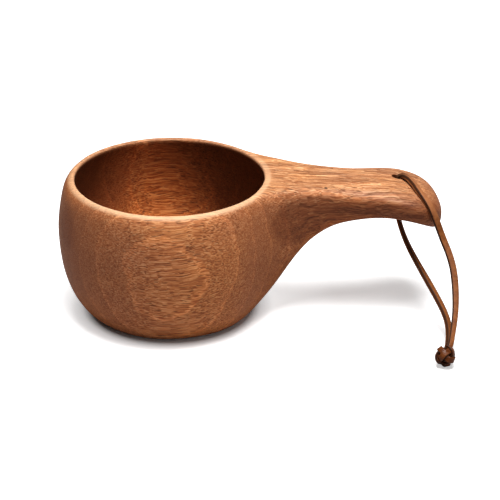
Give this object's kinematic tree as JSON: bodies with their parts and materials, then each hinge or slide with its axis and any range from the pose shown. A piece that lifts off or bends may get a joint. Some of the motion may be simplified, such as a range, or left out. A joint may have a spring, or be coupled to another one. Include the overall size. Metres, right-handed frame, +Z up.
{
  "type": "wooden drinking cup",
  "caption": "Carved wooden cup with a round belly, a flat foot and a broad handle level with the rim, with a knotted leather thong through the handle's end.",
  "frame": {"origin": "centre of the flat foot, on the surface that the cup stands on", "axes": "+Z up through the bowl's axis, +X along the handle away from the bowl; the thong lies to the -Y side"},
  "size_m": [0.1719, 0.1188, 0.063],
  "materials": {
    "wood": "oiled, satin",
    "leather": "vegetable tanned lace, smooth grain side, darker cut edges"
  },
  "bodies": {
    "root": {"cup": "wood", "thong_upper": "leather", "thong_lower": "leather", "knot": "leather"}
  },
  "joints": []
}
